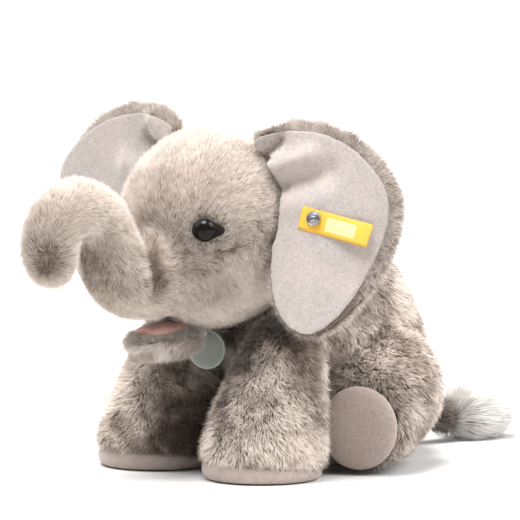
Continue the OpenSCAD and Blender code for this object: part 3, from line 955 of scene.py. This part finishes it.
# Rings of (share of the sole's size, share of its height), from the table up
FRONT_SOLE_RINGS = [(0.86, 0.02), (0.95, 0.07), (1.0, 0.3), (1.01, 0.55), (0.985, 0.8), (0.92, 0.95),
                    (0.7, 1.0)]
HIND_SOLE_RINGS = [(0.9, -0.35), (0.99, -0.1), (1.0, 0.2), (0.95, 0.5), (0.83, 0.76), (0.6, 0.93),
                   (0.32, 1.0)]
HIND_SOLE_CROWN = 6 * MM
ROUNDED = ("SUBSURF", {"levels": 2, "render_levels": 2})
for side in SIDES:
    low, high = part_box(f"{side}_front_sole")
    mesh = ringed(FRONT_SOLE_RINGS)
    points = points_of(mesh)
    half = np.array([(high.x - low.x) / 2 + 2.5 * MM, (high.y - low.y) / 2 + 3 * MM])
    middle = np.array([(high.x + low.x) / 2, (high.y + low.y) / 2 - 1 * MM])
    points[:, :2] = points[:, :2] * half + middle
    points[:, 2] *= sole_line(points, low, high) + 2.5 * MM
    put_points(mesh, points)
    sole = add_piece(f"{side}_front_sole_pad", evaluated(mesh, ROUNDED), sole_velvet)
    settle(sole, f"{side}_front_leg", None, (f"{side}_front_sole",))

    middle, out = flat_frame(points_of(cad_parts[f"{side}_hind_sole"].data), (0, -1, 0))
    mesh = ringed(HIND_SOLE_RINGS)
    across = unit(np.cross(out, (0, 0, 1)))
    middle = middle + across * SIDES[side] * 3 * MM
    points = points_of(mesh)
    low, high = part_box(f"{side}_hind_sole")
    radius = (high.z - low.z) / 2
    spread = points[:, :1] * across * radius * 0.93 + points[:, 1:2] * np.array([0, 0, 1]) * radius
    put_points(mesh, middle + spread + points[:, 2:] * out * HIND_SOLE_CROWN)
    sole = add_piece(f"{side}_hind_sole_pad", evaluated(mesh, ROUNDED), sole_velvet)
    settle(sole, f"{side}_hind_leg", None, (f"{side}_hind_sole",))


# ---- Tail

def comb_tail(roots, out):
    return np.array([0.1, 1.0, 0.12])


tail_skin = stuffed(copied("tail_stem"), 1.5 * MM, 4, 2.5 * MM)
tail_base = add_piece("tail_skin", tail_skin, tail_backing)
settle(tail_base, "tail", None, ("tail_stem",))
root_pile = pile("tail_root_pile", tail_skin, [torso_skin], comb_tail, 11 * MM, 4.0, stem_pile, seed=71)
settle(root_pile, "tail")
tuft_core = stuffed(copied("tail_tuft"), 2 * MM, 6, 9 * MM)
tuft_base = add_piece("tail_tuft_core", tuft_core, tail_backing)
settle(tuft_base, "tail", None, ("tail_tuft",))
tuft_pile = pile("tail_tuft_pile", tuft_core, [], comb_tail, 21 * MM, 10, tail_pile, seed=73, steps=4,
                 lay=1.3, gather=0.35, tuft=5 * MM, unruly=0.22, width=0.15 * MM)
settle(tuft_pile, "tail")


# ---- Ears

class Ear:
    """An ear's own frame: u runs out from the seam and v up from the lobe, both from 0 to 1."""

    def __init__(self, side):
        points = points_of(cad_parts[f"{side}_ear_lining"].data)
        self.out = flat_frame(points, (0, -1, 0))[1]
        self.across = unit(np.cross((0, 0, 1), self.out)) * SIDES[side]
        self.up = unit(np.cross(self.out, self.across)) * SIDES[side]
        self.up *= np.sign(self.up[2])
        axes = np.stack([self.across, self.up, self.out])
        reach = points @ axes.T
        self.axes = axes
        self.low = reach.min(axis=0)
        self.size = reach.max(axis=0) - self.low

    def local(self, points):
        return (points @ self.axes.T - self.low) / self.size

    def moved(self, mesh, change):
        """Moves a mesh by what change gives for its (u, v, w) places, in metres across, up and out."""
        points = points_of(mesh)
        put_points(mesh, points + change(self.local(points)) @ self.axes)


# Folds by the seam: (start, end, width, height out of the velvet in millimetres)
EAR_FOLDS = {
    "left": [((-0.1, 0.76), (0.13, 0.93), 0.045, -8), ((-0.08, 0.9), (0.05, 1.0), 0.07, 5),
             ((-0.02, 0.70), (0.22, 0.715), 0.055, -6), ((0.2, 0.715), (0.55, 0.79), 0.07, -3.5),
             ((0.02, 0.765), (0.4, 0.86), 0.06, 5), ((0.3, 0.6), (0.55, 0.66), 0.08, 2)],
    "right": [((0.0, 0.7), (0.2, 0.86), 0.05, -7), ((0.0, 0.86), (0.16, 0.97), 0.06, 4),
              ((0.1, 0.62), (0.4, 0.72), 0.08, 4), ((0.0, 0.5), (0.2, 0.56), 0.07, -4)]}
EAR_CURL = {"left": -9 * MM, "right": 5 * MM}
EAR_SEED = {"left": 85, "right": 86}


def ear_folded(side):
    def change(places):
        uv = places[:, :2]
        out = EAR_CURL[side] * smooth_step(uv[:, 0], 0.45, 1.1) ** 1.5
        hills, valleys = np.zeros(len(uv)), np.zeros(len(uv))
        for start, end, width, height in EAR_FOLDS[side]:
            rise = height * MM * near_route(uv, [start, end], width)
            hills, valleys = np.maximum(hills, rise), np.minimum(valleys, rise)
        out = out + hills + valleys
        return out[:, None] * np.array([0, 0, 1])
    return change


def velvet_spread(side):
    """The velvet reaches past the lobe and the seam, and the right one's outer edge, and swells."""
    def change(places):
        down = -5 * MM * smooth_step(-places[:, 1], -0.5, 0)
        edge = (5 * MM if side == "right" else 0) * smooth_step(places[:, 0], 0.4, 1)
        seam = -3 * MM * smooth_step(-places[:, 0], -0.5, 0)
        crown = 1.6 * MM * np.exp(-((places[:, 0] - 0.5) / 0.4) ** 2 - ((places[:, 1] - 0.5) / 0.4) ** 2)
        return np.stack([edge + seam, down, crown * (places[:, 2] > 0.5)], axis=1)
    return change


def ear_comb(ear):
    def comb(roots, out):
        places = ear.local(roots)
        radial = (places[:, :1] - 0.35) * ear.across + (places[:, 1:2] - 0.5) * ear.up
        return unit(radial) - ear.out * 0.35 + ear.across * 0.3 - ear.up * 0.35
    return comb


def ear_room(ear, side):
    """The pile shows round the top and the outer edge, and not in front of the velvet or at the lobe."""
    def room(roots, out):
        places = ear.local(roots)
        facing = out @ ear.out
        rim = smooth_step(facing, -0.6, -0.2)
        lobe = smooth_step(-places[:, 1], -0.32, -0.1)
        if side == "right":
            edge = smooth_step(places[:, 0], 0.7, 0.95) * smooth_step(-places[:, 1], -0.95, -0.75)
            lobe = np.maximum(lobe, edge)
        return 1 - rim * lobe
    return room


ears = {side: Ear(side) for side in SIDES}
for side, ear in ears.items():
    lining = stuffed(copied(f"{side}_ear_lining"), 1.1 * MM, 4, 0.0)
    ear.moved(lining, velvet_spread(side))
    ear.moved(lining, ear_folded(side))
    ear.velvet = lining
    velvet = add_piece(f"{side}_ear_velvet", lining, ear_velvet)
    settle(velvet, f"{side}_ear", None, (f"{side}_ear_lining",))
    ear_skin = stuffed(copied(f"{side}_ear_back"), 1.6 * MM, 3, 1.6 * MM)
    ear.moved(ear_skin, ear_folded(side))
    ear_base = add_piece(f"{side}_ear_skin", ear_skin, backing)
    settle(ear_base, f"{side}_ear", None, (f"{side}_ear_back",))
    strands = pile(f"{side}_ear_pile", ear_skin, [lining], ear_comb(ear), 6.5 * MM, 4.6, ear_pile,
                   seed=EAR_SEED[side], bare=ear_room(ear, side), steps=1, width=0.18 * MM, tuft=3 * MM)
    settle(strands, f"{side}_ear")

# ---- Ribbon and rivet

RIBBON_BACK = 8 * MM
RIBBON_THICK = 0.35 * MM
rivet_points = points_of(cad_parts["ear_rivet"].data)
rivet_place = (rivet_points.max(axis=0) + rivet_points.min(axis=0)) / 2
left_out = ears["left"].out
ribbon_points = points_of(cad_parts["ear_ribbon"].data)
far_end = ribbon_points[np.linalg.norm(ribbon_points - rivet_place, axis=1) > 30 * MM].mean(axis=0)
ribbon_along = far_end - rivet_place
ribbon_along = unit(ribbon_along - left_out * (ribbon_along @ left_out))
# The true line of the strip is the one over which it measures narrowest
sideways = np.cross(left_out, ribbon_along)
lines = [math.cos(a) * ribbon_along + math.sin(a) * sideways for a in np.radians(np.linspace(-6, 6, 241))]
ribbon_along = min(lines, key=lambda line: np.ptp(ribbon_points @ np.cross(left_out, line)))
ribbon_across = unit(np.cross(left_out, ribbon_along))
reach = ribbon_points @ ribbon_along
ribbon_length = reach.max() - reach.min()
across_reach = ribbon_points @ ribbon_across
ribbon_width = across_reach.max() - across_reach.min()
drape = Drape(ears["left"].velvet, rivet_place + ribbon_along * 15 * MM, ribbon_along, ribbon_across,
              left_out, np.array([22, 9]) * MM)


def folded_ribbon():
    """A strip cut twice the ribbon's length, folded at its far end, its two ends under the rivet."""
    shape = bmesh.new()
    bmesh.ops.create_grid(shape, x_segments=92, y_segments=8, size=0.5)
    mesh = mesh_of(shape, "ribbon")
    flat = points_of(mesh)
    run = (flat[:, 0] + 0.5) * 2 * ribbon_length
    side_step = flat[:, 1] * ribbon_width
    upper = run > ribbon_length
    at = np.where(upper, 2 * ribbon_length - run, run)
    bend = 1.2 * MM
    near_fold = smooth_step(at, ribbon_length - bend, ribbon_length)
    lift = 0.5 * MM + 6 * MM * smooth_step(at, RIBBON_BACK + 3 * MM, ribbon_length * 1.15) ** 1.2
    gap = (0.3 * MM + 0.5 * MM * smooth_step(at, 0.012, 0.02)) * np.sqrt(np.maximum(1 - near_fold, 0))
    middle_across = (across_reach.max() + across_reach.min()) / 2
    place = (reach.min() + at)[:, None] * ribbon_along + (middle_across + side_step)[:, None] * ribbon_across
    under = drape.height(place)
    height = lift + np.where(upper, 1, -1) * gap / 2 - 0.5 * MM * (side_step / ribbon_width * 2) ** 2
    put_points(mesh, place + (under + height)[:, None] * left_out)
    cloth = np.stack([at, side_step, np.zeros(len(flat))], axis=1)
    weave_places = mesh.attributes.new("cloth", "FLOAT_VECTOR", "POINT").data
    weave_places.foreach_set("vector", cloth.ravel().astype(np.float32))
    return evaluated(smoothed(mesh), ("SOLIDIFY", {"thickness": RIBBON_THICK, "offset": 0}))


ribbon = add_piece("ribbon_label", folded_ribbon(), ribbon_finish())
settle(ribbon, "ribbon", None, ("ear_ribbon",))
2 * ribbon_length

# The rivet's section: (distance from its axis, height over the ribbon), in millimetres
RIVET_SECTION = [(0, 1.9), (1.3, 1.85), (1.6, 1.55), (2.1, 1.55), (2.4, 1.85), (3.3, 1.75), (3.6, 1.4),
                 (3.9, 1.4), (4.2, 1.9), (4.55, 1.7), (4.7, 1.1), (4.5, 0.5), (3.8, 0.3), (1.6, 0.3),
                 (1.6, -9.5), (0, -9.5)]


def spun_rivet():
    shape = bmesh.new()
    corners = [shape.verts.new((r * MM, 0, h * MM)) for r, h in RIVET_SECTION]
    edges = [shape.edges.new(pair) for pair in zip(corners[:-1], corners[1:])]
    bmesh.ops.spin(shape, geom=corners + edges, axis=(0, 0, 1), cent=(0, 0, 0), angle=2 * math.pi,
                   steps=56, use_merge=True, dvec=(0, 0, 0))
    bmesh.ops.remove_doubles(shape, verts=shape.verts, dist=0.005 * MM)
    bmesh.ops.recalc_face_normals(shape, faces=shape.faces)
    turn = Vector((0, 0, 1)).rotation_difference(Vector(left_out)).to_matrix().to_4x4()
    top = drape.height(rivet_place[None])[0] + 0.75 * MM
    foot = rivet_place + left_out * (top - rivet_place @ left_out)
    bmesh.ops.transform(shape, matrix=Matrix.Translation(Vector(foot)) @ turn, verts=shape.verts)
    return smoothed(mesh_of(shape, "rivet"))


steel = metal_finish("rivet_steel", (0.34, 0.34, 0.35))
rivet = add_piece("rivet_cap", spun_rivet(), steel)
settle(rivet, "left_ear", None, ("ear_rivet",))

# ---- Eyes

FELT_RADIUS = 7.7 * MM
FELT_CORNER = 4.6 * MM
FELT_BACK = 0.6 * MM
for side, sign in SIDES.items():
    mesh = ringed([(1.0, 0), (0.98, 0.0006), (0.8, 0.0012), (0.5, 0.0015)])
    points = points_of(mesh)
    out = eye_out[side]
    behind = unit(np.cross((0, 0, 1), out)) * sign
    above = unit(np.cross(out, behind)) * sign
    above = above * np.sign(above[2])
    angle = np.arctan2(points[:, 1], points[:, 0])
    size = np.linalg.norm(points[:, :2], axis=1)
    pointed = (FELT_RADIUS + FELT_CORNER * np.maximum(np.cos(angle), 0) ** 9
               + FELT_BACK * np.maximum(-np.cos(angle), 0) ** 4)
    drop = points[:, 0] ** 2 * 0.8 * MM
    put_points(mesh, eye_middle[side] - out * 3.2 * MM + (size * pointed * np.cos(angle))[:, None] * behind
               + (size * pointed * np.sin(angle) * 0.93)[:, None] * above
               + (points[:, 2] - drop)[:, None] * out)
    felt = add_piece(f"{side}_eye_felt", mesh, eye_felt)
    settle(felt, "head")

# ---- Tag, and the finishes of the solids that stay

TAG_TURN = math.radians(24)
TAG_THICK = 1 * MM
tag_low, tag_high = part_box("swing_tag")
tag_middle = (tag_low + tag_high) / 2
tag_radius = (tag_high.x - tag_low.x) / 2
mesh = ringed([(0.97, 0), (1.0, 0.15), (1.0, 0.85), (0.97, 1.0), (0.5, 1.0)], 72)
points = points_of(mesh)
facing = np.array(towards(math.degrees(TAG_TURN), 0))
across = np.array([math.cos(TAG_TURN), math.sin(TAG_TURN), 0])
disc = points[:, :1] * across + points[:, 1:2] * np.array([0, 0, 1])
put_points(mesh, np.array(tag_middle) + disc * tag_radius + (points[:, 2:] - 0.5) * TAG_THICK * facing)
card = tag_finish(tuple(tag_middle), TAG_TURN, tag_radius)
tag = add_piece("tag_card", mesh, card)
settle(tag, "tag", None, ("swing_tag",))
washer_plastic = plastic_finish("washer_plastic", (0.8, 0.78, 0.74))
eye_black = eye_finish()
kept = {"left_eye": eye_black, "right_eye": eye_black, "ear_rivet_washer": steel,
        "left_eye_washer": washer_plastic, "right_eye_washer": washer_plastic, "tag_fastener": washer_plastic}
for name, material in kept.items():
    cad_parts[name].data.materials.clear()
    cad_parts[name].data.materials.append(material)
